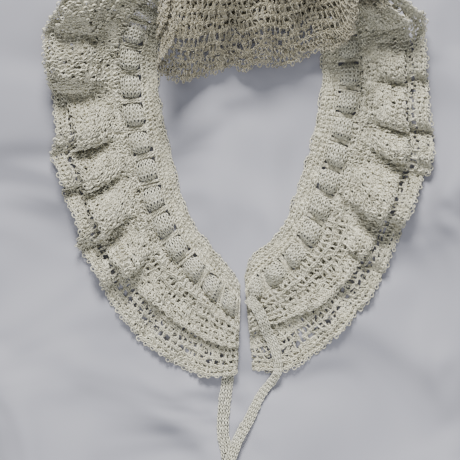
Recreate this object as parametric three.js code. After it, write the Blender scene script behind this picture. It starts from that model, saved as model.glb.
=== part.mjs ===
// A knitted lace collar laid flat, with the back turned over into the neck opening.
// A dense neckband carries a row of eyelets, a flat tie runs over and under through them,
// and two frills, a long one under a short one, are worked out from the band's outer edge.
//
// Millimetres, +Z up. The collar rests on z = 0 with its fronts towards -Y and its back
// towards +Y. Every cloth piece is a closed wall on one surface: places on it are given by
// `u`, the distance along the neck edge from the left front end, and a distance across.

import * as THREE from "three";

// ---- Driving dimensions ----

const CLOTH = 1.4; // thickness of the lace walls
const GAP = 0.35; // clearance between the band and the tie
const SEAM_GAP = 0.5; // between the band's outer edge and the frills
const LAYER_GAP = 1.5; // between the long frill and the short one over it

const BAND_WIDTH = 22.5; // neck edge to the seam of the frills
const BAND_LIFT = 1.9; // height of the band over the tie that runs beneath it
const LIFT_START = 6; // across the band, where it begins to rise over the tie

const EYELET_INNER = 10; // across the band, the two ends of an eyelet
const EYELET_OUTER = 21;
const EYELET_SHARE = 0.235; // length of an eyelet as a share of the pitch of the puffs
const BAR_SHARE = 0.36; // length of the bar under a puff, the same

const TIE_WIDTH = 10;
const TIE_THICKNESS = 1.3;
const TIE_UNDER = 0.3; // underside of the tie where it runs beneath the band
const TIE_PUFF = 1.1; // extra height of the tie at the middle of each puff
const TIE_EASE = 0.3; // how far inside an eyelet's ends the tie changes height
const TIE_FIRST = 0.4; // along the eyelet row, where the threaded part of the tie begins
const TIE_END_WIDTH = 7.2;
const TIE_END_THICKNESS = 1.3;
const TIE_END_SIDES = 8;
const TIE_END_STEP = 5; // length of each straight step of a free end

const ROOT_DROP = 12; // length over which the long frill comes down from the band
const FOLD_FULL = 0.62; // share of the depth where a fold of the long frill has its height
const FOLD_RISE = 0.2; // least share of the depth over which a fold rises
const UPPER_RISE = 0.4; // the same over which the short frill leaves the long one
const FLARE_FULL = 0.9; // share of the depth where a flare is complete
const CREST_FULLNESS = 1.7; // above 1, folds have full crests and narrow valleys
const LEAST_STEEPNESS = 0.6; // limits of the wall's stretch on the slope of a fold
const MOST_STEEPNESS = 3;

const LEAST_COLUMN = 3; // least step along the neck edge between the places of the folds
const LONGEST_COLUMN = 8; // about the longest step between the columns of a frill
const CORNER_COLUMN = 2.2; // the same in the back's left corner, where the frill turns over
const CORNER_START = 144; // along the neck edge, the two ends of that corner
const CORNER_END = 170;
const SPREAD_SHARE = 0.62; // share of the long frill's depth where that step is measured
const UPPER_ROWS = [0, 0.33, 0.68, 1]; // shares of the short frill's depth
const LOWER_ROWS = [...UPPER_ROWS, 1.5, 2]; // the same, then how far on to the long one's edge

// ---- Tables ----

// One row for each section, from the left front end round the back to the right front end.
// x, y: the neck edge. head, tilt: which way the band runs out from it, in plan and upwards.
// tipHead, tipTilt: which way the frill ends up running. reach: depth of the long frill.
// turn: the length over which the frill turns from the band's direction to its own.
const SECTIONS = [
  { x: -0.5, y: -68.5, head: 268, tilt: 0, tipHead: 268, tipTilt: 0, reach: 27, turn: 20 },
  { x: -3.6, y: -64.2, head: 259, tilt: 0, tipHead: 259, tipTilt: 0, reach: 35, turn: 20 },
  { x: -7.6, y: -59.0, head: 250, tilt: 0, tipHead: 250, tipTilt: 0, reach: 39, turn: 20 },
  { x: -14.6, y: -50.3, head: 235, tilt: 0, tipHead: 235, tipTilt: 0, reach: 42, turn: 20 },
  { x: -25.6, y: -36.6, head: 216, tilt: 0, tipHead: 216, tipTilt: 0, reach: 40, turn: 20 },
  { x: -33.8, y: -17.3, head: 203, tilt: 0, tipHead: 203, tipTilt: 0, reach: 40, turn: 20 },
  { x: -38.6, y: 4.0, head: 194, tilt: 0, tipHead: 194, tipTilt: 0, reach: 41, turn: 20 },
  { x: -43.0, y: 21.2, head: 187, tilt: 0, tipHead: 187, tipTilt: 0, reach: 40, turn: 20 },
  { x: -45.2, y: 38.0, head: 182, tilt: 0, tipHead: 182, tipTilt: 2, reach: 37, turn: 20 },
  { x: -46.0, y: 54.0, head: 176, tilt: 4, tipHead: 176, tipTilt: 12, reach: 43, turn: 20 },
  { x: -44.2, y: 67.0, head: 162, tilt: 14, tipHead: 166, tipTilt: 27, reach: 45, turn: 20 },
  { x: -39.9, y: 75.5, head: 138, tilt: 32, tipHead: 132, tipTilt: 20, reach: 42, turn: 18 },
  { x: -36.0, y: 79.2, head: 124, tilt: 48, tipHead: 20, tipTilt: 62, reach: 27, turn: 20 },
  { x: -31.0, y: 82.0, head: 112, tilt: 60, tipHead: 262, tipTilt: -4, reach: 57, turn: 20 },
  { x: -18.0, y: 85.8, head: 102, tilt: 66, tipHead: 262, tipTilt: -28, reach: 66, turn: 20 },
  { x: 0.0, y: 87.6, head: 90, tilt: 70, tipHead: 269, tipTilt: -32, reach: 65, turn: 20 },
  { x: 17.0, y: 87.0, head: 78, tilt: 66, tipHead: 272, tipTilt: -30, reach: 63, turn: 20 },
  { x: 30.0, y: 83.6, head: 58, tilt: 46, tipHead: 277, tipTilt: -14, reach: 53, turn: 20 },
  { x: 34.8, y: 80.6, head: 48, tilt: 33, tipHead: 340, tipTilt: 66, reach: 38, turn: 18 },
  { x: 38.4, y: 77.0, head: 36, tilt: 20, tipHead: 18, tipTilt: 44, reach: 36, turn: 18 },
  { x: 42.6, y: 68.0, head: 18, tilt: 6, tipHead: 19, tipTilt: 22, reach: 39, turn: 20 },
  { x: 43.6, y: 56.0, head: 6, tilt: 0, tipHead: 6, tipTilt: 2, reach: 36, turn: 20 },
  { x: 44.0, y: 40.0, head: -2, tilt: 0, tipHead: -2, tipTilt: 0, reach: 37, turn: 20 },
  { x: 41.6, y: 24.0, head: -11, tilt: 0, tipHead: -11, tipTilt: 0, reach: 43, turn: 20 },
  { x: 37.2, y: 5.0, head: -18, tilt: 0, tipHead: -18, tipTilt: 0, reach: 42, turn: 20 },
  { x: 31.6, y: -13.5, head: -26, tilt: 0, tipHead: -26, tipTilt: 0, reach: 40, turn: 20 },
  { x: 25.4, y: -31.5, head: -36, tilt: 0, tipHead: -36, tipTilt: 0, reach: 40, turn: 20 },
  { x: 16.6, y: -44.6, head: -50, tilt: 0, tipHead: -50, tipTilt: 0, reach: 41, turn: 20 },
  { x: 9.2, y: -50.6, head: -62, tilt: 0, tipHead: -62, tipTilt: 0, reach: 43, turn: 20 },
  { x: 4.6, y: -55.6, head: -72, tilt: 0, tipHead: -72, tipTilt: 0, reach: 42, turn: 20 },
  { x: 1.6, y: -64.4, head: -85, tilt: 0, tipHead: -85, tipTilt: 0, reach: 30, turn: 20 },
];

// One row for each fold of the frills. at: its middle along the neck edge. width, height: of
// the long frill's fold at its free edge, below zero where it bulges to the other side.
// start: the share of the depth where it begins. upper: how much higher the short frill
// stands. flare: how much further the long frill reaches there.
const FOLDS = [
  { at: 1.5, width: 26, height: 3.4, start: -0.1, upper: 0, flare: 0 },
  { at: 20, width: 15, height: 1.8, start: 0.25, upper: 1.2, flare: 0 },
  { at: 31, width: 11, height: 3, start: 0.3, upper: 1.5, flare: 0 },
  { at: 48.5, width: 16, height: 7, start: 0, upper: 2.5, flare: -1.5 },
  { at: 61, width: 11, height: 4, start: 0.45, upper: 0, flare: 3 },
  { at: 69.5, width: 20, height: 8, start: 0, upper: 3, flare: -3 },
  { at: 87, width: 17, height: 7.5, start: 0, upper: 2.5, flare: 0 },
  { at: 96, width: 11, height: 3, start: 0.6, upper: 0, flare: 2.5 },
  { at: 106, width: 22, height: 8.5, start: 0, upper: 3, flare: -1.5 },
  { at: 131, width: 26, height: 9.5, start: 0, upper: 2, flare: 0 },
  { at: 149, width: 18, height: 8, start: 0, upper: 1, flare: 0 },
  { at: 180, width: 22, height: -4, start: 0.25, upper: 0, flare: 1.5 },
  { at: 197, width: 7, height: 2.5, start: 0.35, upper: 0, flare: -2 },
  { at: 209, width: 18, height: -5, start: 0.25, upper: 0, flare: -6 },
  { at: 226, width: 14, height: 3, start: 0.35, upper: 0, flare: -2 },
  { at: 246, width: 19, height: 8, start: 0, upper: 1, flare: 0 },
  { at: 267, width: 18, height: 5, start: 0.1, upper: 1.5, flare: 0 },
  { at: 285, width: 19, height: 7, start: 0, upper: 2, flare: 0 },
  { at: 299, width: 13, height: 6, start: 0.05, upper: 2.5, flare: 1.5 },
  { at: 306, width: 10, height: 3, start: 0.55, upper: 0, flare: 3 },
  { at: 321, width: 24, height: 10, start: 0, upper: 3, flare: 0 },
  { at: 344, width: 14, height: 4, start: 0.15, upper: 1.5, flare: 0 },
  { at: 357, width: 14, height: 2.5, start: 0.35, upper: 1.5, flare: 0.5 },
  { at: 370, width: 14, height: 3.2, start: 0.25, upper: 1.2, flare: 0 },
  { at: 385, width: 12, height: 1.6, start: 0.3, upper: 1, flare: 0 },
];

// How far the folds lean over towards the fronts, as a share of their height. Below zero is
// towards the left front end.
const LEANS = [
  { at: 0, lean: 0 },
  { at: 30, lean: -0.2 },
  { at: 45, lean: -0.7 },
  { at: 60, lean: -0.85 },
  { at: 112, lean: -0.85 },
  { at: 124, lean: 0 },
  { at: 140, lean: 0.3 },
  { at: 160, lean: 0.3 },
  { at: 172, lean: 0 },
  { at: 228, lean: 0 },
  { at: 240, lean: 0.5 },
  { at: 255, lean: 0.7 },
  { at: 332, lean: 0.75 },
  { at: 350, lean: 0.4 },
  { at: 370, lean: 0.2 },
  { at: 395, lean: 0 },
];

// Depth of the short frill as a share of the long one, at places along the neck edge.
const UPPER_SHARES = [
  { at: 0, share: 0.46 },
  { at: 14, share: 0.48 },
  { at: 30, share: 0.54 },
  { at: 45, share: 0.64 },
  { at: 62, share: 0.7 },
  { at: 112, share: 0.7 },
  { at: 122, share: 0.9 },
  { at: 158, share: 0.9 },
  { at: 172, share: 0.62 },
  { at: 228, share: 0.62 },
  { at: 238, share: 0.85 },
  { at: 252, share: 0.8 },
  { at: 264, share: 0.62 },
  { at: 300, share: 0.68 },
  { at: 330, share: 0.7 },
  { at: 350, share: 0.62 },
  { at: 366, share: 0.56 },
  { at: 378, share: 0.44 },
  { at: 388, share: 0.32 },
  { at: 395, share: 0.28 },
];

// Where the puffs of the tie stand along the eyelet row. Those between are evenly spaced.
const PUFFS = [
  { number: 0, at: 6.9 },
  { number: 1, at: 19.8 },
  { number: 4, at: 64 },
  { number: 9, at: 142.5 },
  { number: 23, at: 353.5 },
  { number: 31, at: 473.5 },
  { number: 32, at: 486.9 },
];

// The free ends of the tie, from the band outwards, at the middle of its thickness. The left
// one lies under the left front. The right one lies on the right front, then over the left.
const LEFT_END_ROUTE = [
  { x: -4.2, y: -89.4, z: 0.72 },
  { x: -4.6, y: -94, z: 0.72 },
  { x: -4.9, y: -100, z: 0.72 },
  { x: -5.4, y: -107, z: 0.72 },
  { x: -6.3, y: -113.5, z: 0.72 },
  { x: -7.5, y: -120, z: 0.72 },
  { x: -8.3, y: -126.5, z: 0.72 },
  { x: -9.0, y: -132, z: 0.72 },
  { x: -9.6, y: -138, z: 0.72 },
  { x: -10.2, y: -144, z: 0.72 },
  { x: -10.2, y: -150, z: 0.72 },
  { x: -9.3, y: -156, z: 0.72 },
  { x: -7.9, y: -162.5, z: 0.72 },
  { x: -6.6, y: -168.5, z: 0.72 },
  { x: -5.6, y: -174.5, z: 0.72 },
];
const RIGHT_END_ROUTE = [
  { x: 3.6, y: -76.6, z: 6.1 },
  { x: 6.2, y: -79.2, z: 6.7 },
  { x: 8.3, y: -81.8, z: 7.3 },
  { x: 10.1, y: -85, z: 6.9 },
  { x: 11.6, y: -88.6, z: 6.3 },
  { x: 13.0, y: -92.7, z: 5.1 },
  { x: 15.2, y: -97.4, z: 3.4 },
  { x: 17.3, y: -101.6, z: 3.6 },
  { x: 18.7, y: -105.4, z: 3.9 },
  { x: 19.6, y: -109.4, z: 3.9 },
  { x: 20.2, y: -114, z: 3.7 },
  { x: 19.6, y: -118, z: 3.7 },
  { x: 17.6, y: -121.4, z: 2.1 },
  { x: 14.8, y: -124.9, z: 1.2 },
  { x: 10.4, y: -130.6, z: 1.0 },
  { x: 7.3, y: -136.9, z: 1.0 },
  { x: 4.3, y: -143.2, z: 1.1 },
  { x: 0.7, y: -149.5, z: 2.4 },
  { x: -2.4, y: -155.4, z: 2.7 },
  { x: -4.6, y: -161.6, z: 2.7 },
  { x: -6.2, y: -167.4, z: 2.7 },
  { x: -8.0, y: -173.6, z: 2.7 },
];

// ---- Small helpers ----

const smooth = (t) => {
  const c = Math.min(1, Math.max(0, t));
  return c * c * (3 - 2 * c);
};

function bump(t) {
  const soft = Math.abs(t) < 1 ? 0.5 * (1 + Math.cos(Math.PI * t)) : 0;
  return 1 - (1 - soft) ** CREST_FULLNESS;
}

function direction(head, tilt) {
  const h = THREE.MathUtils.degToRad(head);
  const t = THREE.MathUtils.degToRad(tilt);
  return [Math.cos(t) * Math.cos(h), Math.cos(t) * Math.sin(h), Math.sin(t)];
}

// Linear reading of one column of a table whose rows are in the order of `key`.
function readTable(rows, key, column, value) {
  const after = rows.findIndex((row) => row[key] >= value);
  if (after === 0) return rows[0][column];
  if (after < 0) return rows[rows.length - 1][column];
  const a = rows[after - 1];
  const b = rows[after];
  const share = (value - a[key]) / (b[key] - a[key]);
  return THREE.MathUtils.lerp(a[column], b[column], share);
}

function catmullRom(p0, p1, p2, p3, f) {
  return (
    0.5 *
    (2 * p1 +
      (p2 - p0) * f +
      (2 * p0 - 5 * p1 + 4 * p2 - p3) * f * f +
      (3 * p1 - p0 - 3 * p2 + p3) * f * f * f)
  );
}

// ---- The sections, read smoothly anywhere along the neck edge ----

const sectionValues = SECTIONS.map((row) => [
  row.x,
  row.y,
  ...direction(row.head, row.tilt),
  ...direction(row.tipHead, row.tipTilt),
  row.reach,
  row.turn,
]);

function valuesAt(t) {
  const last = sectionValues.length - 1;
  const i = Math.min(last - 1, Math.max(0, Math.floor(t)));
  const p1 = sectionValues[i];
  const p2 = sectionValues[i + 1];
  const p0 = sectionValues[i - 1] ?? p1.map((value, k) => 2 * value - p2[k]);
  const p3 = sectionValues[i + 2] ?? p2.map((value, k) => 2 * value - p1[k]);
  return p1.map((_, k) => catmullRom(p0[k], p1[k], p2[k], p3[k], t - i));
}

// Distance along a line, measured at many places, and its reverse.
function measured(pointAt, from, to, steps) {
  const rows = [{ at: 0, place: from }];
  let before = pointAt(from);
  for (let i = 1; i <= steps; i++) {
    const place = THREE.MathUtils.lerp(from, to, i / steps);
    const here = pointAt(place);
    rows.push({ at: rows[i - 1].at + here.distanceTo(before), place });
    before = here;
  }
  return { length: rows[steps].at, placeAt: (at) => readTable(rows, "at", "place", at) };
}

const MEASURING_STEPS = 2000;

const neckEdge = measured(
  (t) => new THREE.Vector3(...valuesAt(t).slice(0, 2), 0),
  0,
  SECTIONS.length - 1,
  MEASURING_STEPS,
);

function sectionAt(u) {
  const values = valuesAt(neckEdge.placeAt(u));
  return {
    neck: new THREE.Vector3(values[0], values[1], 0),
    band: new THREE.Vector3(...values.slice(2, 5)).normalize(),
    tip: new THREE.Vector3(...values.slice(5, 8)).normalize(),
    reach: values[8],
    turn: values[9],
  };
}

// ---- The base surface, before any fold ----

// The point at `across` mm from the neck edge on the band.
function onBand(u, across) {
  const { neck, band } = sectionAt(u);
  return neck.addScaledVector(band, across);
}

// The frill's line at `u`, from the seam outwards, as points at equal steps of its depth.
const LINE_STEPS = 80;
const LEAST_BEND = 1e-4; // keeps the reading whole where the frill runs on straight

function frillLine(u) {
  const { neck, band, tip, reach, turn } = sectionAt(u);
  const step = reach / (LINE_STEPS - 1);
  const bend = band.angleTo(tip) + LEAST_BEND;
  const runs = [];
  for (let i = 0; i < LINE_STEPS; i++) {
    const turned = smooth((i * step) / turn) * bend;
    const kept = band.clone().multiplyScalar(Math.sin(bend - turned));
    runs.push(kept.addScaledVector(tip, Math.sin(turned)).normalize());
  }
  const points = [neck.addScaledVector(band, BAND_WIDTH)];
  for (let i = 1; i < LINE_STEPS; i++) {
    const middle = runs[i].clone().add(runs[i - 1]).multiplyScalar(step / 2);
    points.push(points[i - 1].clone().add(middle));
  }
  return { points, runs, reach };
}

function onFrill(u, share) {
  const { points, runs, reach } = frillLine(u);
  const place = share * (LINE_STEPS - 1);
  const i = Math.min(LINE_STEPS - 2, Math.floor(place));
  return {
    point: points[i].clone().lerp(points[i + 1], place - i),
    run: runs[i].clone().lerp(runs[i + 1], place - i).normalize(),
    reach,
  };
}

// The direction along the collar at a place, and how much longer the cloth is there than
// the neck edge.
const PROBE = 0.4; // how far to either side slopes are measured

function along(pointAt, u) {
  const from = Math.max(0, u - PROBE);
  const to = Math.min(neckEdge.length, u + PROBE);
  const difference = pointAt(to).sub(pointAt(from));
  const stretch = difference.length() / (to - from);
  return { way: difference.normalize(), stretch };
}

// ---- Heights over the base surface ----

function foldHeight(u, share, reach) {
  let height = BAND_LIFT * (1 - smooth((share * reach) / ROOT_DROP));
  for (const fold of FOLDS) {
    const rise = smooth((share - fold.start) / Math.max(FOLD_FULL - fold.start, FOLD_RISE));
    height += fold.height * bump((u - fold.at) / (fold.width / 2)) * rise;
  }
  return height;
}

function upperRise(u, share) {
  let rise = 0;
  for (const fold of FOLDS) {
    const begun = smooth((share - fold.start) / UPPER_RISE);
    rise += fold.upper * bump((u - fold.at) / (fold.width / 2)) * begun;
  }
  return rise;
}

function flare(u) {
  let more = 0;
  for (const fold of FOLDS) more += fold.flare * bump((u - fold.at) / (fold.width / 2));
  return more;
}

// A place on a frill's wall. `layers` counts wall thicknesses over the long frill's
// underside, and `gaps` counts clearances; both are measured square to the cloth.
function frillPoint(u, share, layers, gaps, extra) {
  const { point, run, reach } = onFrill(u, share);
  const here = along((place) => onFrill(place, share).point, u);
  const seamWay = along((place) => onBand(place, BAND_WIDTH), u).way;
  const up = new THREE.Vector3().crossVectors(here.way, run).normalize();
  const lean = readTable(LEANS, "at", "lean", u);

  const high = foldHeight(u, share, reach);
  const rise = foldHeight(u + PROBE, share, reach) - foldHeight(u - PROBE, share, reach);
  const slope = rise / (2 * PROBE * here.stretch);
  const fall = (foldHeight(u, Math.min(1, share + PROBE / reach), reach) - high) / PROBE;
  const steepness = THREE.MathUtils.clamp(
    Math.hypot(1 + lean * slope, slope, fall),
    LEAST_STEEPNESS,
    MOST_STEEPNESS,
  );

  const thickness = layers * CLOTH + gaps * LAYER_GAP;
  const height = high + thickness * steepness + extra * upperRise(u, share);
  return point
    .addScaledVector(run, flare(u) * smooth(share / FLARE_FULL))
    .addScaledVector(up, height)
    .addScaledVector(seamWay, lean * height);
}

function bandPoint(u, across, height) {
  const point = onBand(u, across);
  const { way } = along((place) => onBand(place, across), u);
  const up = new THREE.Vector3().crossVectors(way, sectionAt(u).band).normalize();
  return point.addScaledVector(up, height);
}

// Nothing sinks into the surface that the collar lies on.
function onTable(point) {
  point.z = Math.max(point.z, 0);
  return point;
}

function bandLift(across) {
  return BAND_LIFT * smooth((across - LIFT_START) / (EYELET_INNER - LIFT_START));
}

// ---- A closed wall over a grid of places ----

// pointAt(column, row, side) gives the underside at side 0 and the upper side at side 1.
// isOpen(column, row) leaves out a cell, which makes a hole with its own inner sides.
function wall(columns, rows, pointAt, isOpen = () => false) {
  const positions = [];
  const indexOf = (i, j, side) => (i * (rows + 1) + j) * 2 + side;
  for (let i = 0; i <= columns; i++) {
    for (let j = 0; j <= rows; j++) {
      for (const side of [0, 1]) positions.push(...pointAt(i, j, side).toArray());
    }
  }
  const faces = [];
  const quad = (a, b, c, d) => faces.push(a, b, c, a, c, d);
  const solid = (i, j) => i >= 0 && j >= 0 && i < columns && j < rows && !isOpen(i, j);
  const edge = (i0, j0, i1, j1) =>
    quad(indexOf(i0, j0, 0), indexOf(i0, j0, 1), indexOf(i1, j1, 1), indexOf(i1, j1, 0));
  for (let i = 0; i < columns; i++) {
    for (let j = 0; j < rows; j++) {
      if (!solid(i, j)) continue;
      const cell = (side) => [
        indexOf(i, j, side),
        indexOf(i + 1, j, side),
        indexOf(i + 1, j + 1, side),
        indexOf(i, j + 1, side),
      ];
      quad(...cell(1));
      quad(...cell(0).reverse());
      if (!solid(i, j - 1)) edge(i + 1, j, i, j);
      if (!solid(i, j + 1)) edge(i, j + 1, i + 1, j + 1);
      if (!solid(i - 1, j)) edge(i, j, i, j + 1);
      if (!solid(i + 1, j)) edge(i + 1, j + 1, i + 1, j);
    }
  }
  const geometry = new THREE.BufferGeometry();
  geometry.setAttribute("position", new THREE.Float32BufferAttribute(positions, 3));
  geometry.setIndex(faces);
  geometry.computeVertexNormals();
  return geometry;
}

// ---- Neckband, with its eyelets ----

const eyeletRow = measured(
  (u) => onBand(u, (EYELET_INNER + EYELET_OUTER) / 2),
  0,
  neckEdge.length,
  MEASURING_STEPS,
);

const puffAt = (number) => readTable(PUFFS, "number", "at", number);
const lastPuff = PUFFS[PUFFS.length - 1].number;

// Places along the eyelet row of the two eyelets beside a puff: the tie rises through the
// first and falls through the second. The last puff has only the first.
function eyeletEdges(number) {
  const pitch = puffAt(Math.max(1, number)) - puffAt(Math.max(1, number) - 1);
  const middle = puffAt(number);
  const bar = (BAR_SHARE * pitch) / 2;
  const eyelet = EYELET_SHARE * pitch;
  return {
    rises: middle - bar - eyelet,
    risen: middle - bar,
    falls: middle + bar,
    fallen: middle + bar + eyelet,
  };
}

function neckbandGeometry() {
  const places = [{ at: 0, opens: false }];
  for (let number = 0; number <= lastPuff; number++) {
    const { rises, risen, falls, fallen } = eyeletEdges(number);
    places.push({ at: rises, opens: true }, { at: risen, opens: false });
    if (number === lastPuff) break;
    places.push({ at: falls, opens: true }, { at: fallen, opens: false });
  }
  places.push({ at: eyeletRow.length, opens: false });
  const across = [0, LIFT_START, EYELET_INNER, EYELET_OUTER, BAND_WIDTH - SEAM_GAP];
  const eyeletCell = across.indexOf(EYELET_INNER);
  return wall(
    places.length - 1,
    across.length - 1,
    (i, j, side) => {
      const u = eyeletRow.placeAt(places[i].at);
      return onTable(bandPoint(u, across[j], bandLift(across[j]) + side * CLOTH));
    },
    (i, j) => places[i].opens && j === eyeletCell,
  );
}

// ---- Frills ----

// Columns follow the folds: the ends, quarters and middle of each, with more between them
// wherever the frill spreads out by more than LONGEST_COLUMN.
function foldColumns() {
  const wanted = [];
  for (const fold of FOLDS) {
    for (const part of [-0.5, -0.25, 0, 0.25, 0.5]) wanted.push(fold.at + part * fold.width);
  }
  const inside = wanted.filter((u) => u > LEAST_COLUMN && u < neckEdge.length - LEAST_COLUMN);
  const sorted = [...inside.sort((a, b) => a - b), neckEdge.length];
  const columns = [0];
  for (const u of sorted) {
    const last = columns[columns.length - 1];
    if (u - last < LEAST_COLUMN) continue;
    const spread = onFrill(u, SPREAD_SHARE).point.distanceTo(onFrill(last, SPREAD_SHARE).point);
    const isCorner = u > CORNER_START && u < CORNER_END;
    const steps = Math.ceil(spread / (isCorner ? CORNER_COLUMN : LONGEST_COLUMN));
    for (let k = 1; k <= steps; k++) columns.push(THREE.MathUtils.lerp(last, u, k / steps));
  }
  columns[columns.length - 1] = neckEdge.length;
  return columns;
}

// The share of the long frill's depth at a row: up to 1 on the short frill, from 1 to 2 beyond.
function shareAt(u, row) {
  const edge = readTable(UPPER_SHARES, "at", "share", u);
  return row <= 1 ? row * edge : THREE.MathUtils.lerp(edge, 1, row - 1);
}

function frillGeometry(rows, layers, gaps, extra) {
  const columns = foldColumns();
  return wall(columns.length - 1, rows.length - 1, (i, j, side) => {
    const u = columns[i];
    return onTable(frillPoint(u, shareAt(u, rows[j]), layers + side, gaps, extra));
  });
}

// ---- Tie ----

// The tie's places along the eyelet row, with the height of its underside over the band's
// base at each.
function tiePlaces() {
  const over = BAND_LIFT + CLOTH + GAP;
  const places = [{ at: TIE_FIRST, height: TIE_UNDER }];
  for (let number = 0; number <= lastPuff; number++) {
    const { rises, risen, falls, fallen } = eyeletEdges(number);
    places.push({ at: rises + TIE_EASE, height: TIE_UNDER });
    places.push({ at: risen - TIE_EASE, height: over });
    if (number === lastPuff) break;
    const third = (falls - risen) / 3;
    places.push({ at: risen + third, height: over + TIE_PUFF });
    places.push({ at: falls - third, height: over + TIE_PUFF });
    places.push({ at: falls + TIE_EASE, height: over });
    places.push({ at: fallen - TIE_EASE, height: TIE_UNDER });
  }
  places.push({ at: eyeletRow.length, height: over });
  return places;
}

function tieGeometry() {
  const places = tiePlaces();
  const middle = (EYELET_INNER + EYELET_OUTER) / 2;
  return wall(places.length - 1, 1, (i, j, side) => {
    const u = eyeletRow.placeAt(places[i].at);
    const across = middle + (j - 0.5) * TIE_WIDTH;
    return bandPoint(u, across, places[i].height + side * TIE_THICKNESS);
  });
}

// A flat cord along a route.
function tieEndGeometry(route) {
  const points = route.map((row) => new THREE.Vector3(row.x, row.y, row.z));
  const path = new THREE.CatmullRomCurve3(points);
  const section = new THREE.Shape();
  for (let i = 0; i < TIE_END_SIDES; i++) {
    const angle = ((i + 0.5) / TIE_END_SIDES) * 2 * Math.PI;
    const thick = (Math.sin(angle) * TIE_END_THICKNESS) / 2 / Math.cos(Math.PI / TIE_END_SIDES);
    const wide = (Math.cos(angle) * TIE_END_WIDTH) / 2;
    if (i === 0) section.moveTo(thick, wide);
    else section.lineTo(thick, wide);
  }
  section.closePath();
  return new THREE.ExtrudeGeometry(section, {
    steps: Math.round(path.getLength() / TIE_END_STEP),
    bevelEnabled: false,
    extrudePath: path,
  });
}

// ---- The collar ----

const yarn = (color) => new THREE.MeshStandardMaterial({ color, roughness: 0.85, metalness: 0 });

function piece(name, geometry, material) {
  const mesh = new THREE.Mesh(geometry, material);
  mesh.name = name;
  return mesh;
}

const cloth = new THREE.Group();
cloth.add(piece("neckband", neckbandGeometry(), yarn(0xe6e3d6)));
cloth.add(piece("lower_frill", frillGeometry(LOWER_ROWS, 0, 0, 0), yarn(0xe2dfd2)));
cloth.add(piece("upper_frill", frillGeometry(UPPER_ROWS, 1, 1, 1), yarn(0xe8e5d9)));
cloth.add(piece("tie_threaded", tieGeometry(), yarn(0xebe8dc)));

const collar = new THREE.Group();
collar.add(cloth);
collar.add(piece("tie_end_left", tieEndGeometry(LEFT_END_ROUTE), yarn(0xebe8dc)));
collar.add(piece("tie_end_right", tieEndGeometry(RIGHT_END_ROUTE), yarn(0xebe8dc)));

// The middle of the collar's underside, without the free ends, is the origin.
const box = new THREE.Box3().setFromObject(cloth, true);
const centre = box.getCenter(new THREE.Vector3());
collar.position.set(-centre.x, -centre.y, -box.min.z);

export default collar;
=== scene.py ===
"""The looks of a crocheted lace collar lying flat, with its back turned over.

Every stitch is modelled once as a short length of yarn. A row is that stitch repeated by an array,
worked flat, and then laid row by row onto the collar's folded surfaces. Lengths are millimetres
while the cloth is worked, and metres from there on.
"""

import math

import bmesh
import bpy
import numpy as np
from mathutils import Matrix, Vector


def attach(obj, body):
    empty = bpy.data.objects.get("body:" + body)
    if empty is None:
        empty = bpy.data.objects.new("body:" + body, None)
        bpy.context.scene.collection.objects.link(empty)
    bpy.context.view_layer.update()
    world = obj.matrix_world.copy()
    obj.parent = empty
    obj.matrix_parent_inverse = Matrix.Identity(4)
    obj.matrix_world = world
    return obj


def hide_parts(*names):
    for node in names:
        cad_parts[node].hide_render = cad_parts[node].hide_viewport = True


# ---- Driving dimensions of the cloth, in millimetres ----

MM = 0.001
TO_FRAME = np.array((1.434189, 1.726078, 0.0))  # from the cloth's own middle to the frame's

CLOTH = 1.4  # thickness of the lace
LAYER_GAP = 1.5  # between the long frill and the short one
BAND_WIDTH = 22.5
BAND_LIFT = 1.9  # how far the band's outer edge stands over its neck edge
LIFT_START, LIFT_END = 6.0, 10.0  # distances across the band
ROOT_DROP = 12.0  # depth over which a frill comes down from the band
FOLD_FULL, FOLD_RISE = 0.62, 0.2  # share of the depth where folds are full, and least rise
UPPER_RISE = 0.4
FLARE_FULL = 0.9
CREST_FULLNESS = 1.7
LEAST_STEEPNESS, MOST_STEEPNESS = 0.6, 3.0
ALONG_STEP = 0.5
BAND_STEPS, DEPTH_STEPS = 91, 81

EYELET_SHARE = 0.235  # of a puff's pitch
BAR_SHARE = 0.36
EYELET_INNER, EYELET_MIDDLE, EYELET_OUTER = 10.0, 15.5, 21.0
TIE_THICKNESS = 1.3
TIE_UNDER, TIE_OVER = 0.3, 3.65  # height of its edges under the bars and over them
TIE_DIP = 0.6  # how far its edges hang in beside a bar
TIE_EASE = 0.3
TIE_STEP = 2.2  # one course of the tie
PUFF_REACH = 6.5  # half the length of a puff
PUFF_NARROW, PUFF_GAIN = 5.0, 6.2  # the tie's width between puffs, and what a puff adds
PUFF_CROWN = 3.7  # how far the middle of each puff stands over its edges
PUFF_WALES, END_WALES = 5, 4
PUFF_WORKED = 10.0  # width that the puffs are worked at
END_WIDTH, END_WORKED = 7.2, 6.6  # of a free end's solid, and as its courses are worked
FLAT_CROWN, RIGHT_CROWN = 0.2, 0.3  # how far a flat tie's middle stands over its edges
TIE_SINK = 0.2  # how far the threaded tie's yarn lies under the middle of its solid
TIE_START = 0.4
TIE_SLIPS = (0.35, 0.3, 0.25)  # unevenness of its loops along it, across it and out of it
OVER_BAR, UNDER_BAR = 0.9, 1.4  # from a bar's middle to each of its two columns of loops

YARN = 0.42  # radius of the yarn
SIDES = 3  # of the yarn's cross-section
PLY_PITCH = 1.6
PITCH = 2.6  # from one stitch to the next
TALL, SHORT, MESH_PITCH, MESH_TALL = 5.1, 3.0, 4.4, 4.7
PICOT_PITCH, PICOT_TALL = 5.0, 2.0
OPEN_PITCH = 3.2
CHAIN_TALL = 1.5
BAR_TALL, BAR_LOOPS = 12.6, 5
ROOT_SINK = -0.45  # how far a stitch's foot goes under the row below
FOOT_REACH = 1.4  # length of that foot in a twisted loop
CORE_SPREAD, CORE_DEPTH, CORE_STEPS = 0.75, 0.2, 3

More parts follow.
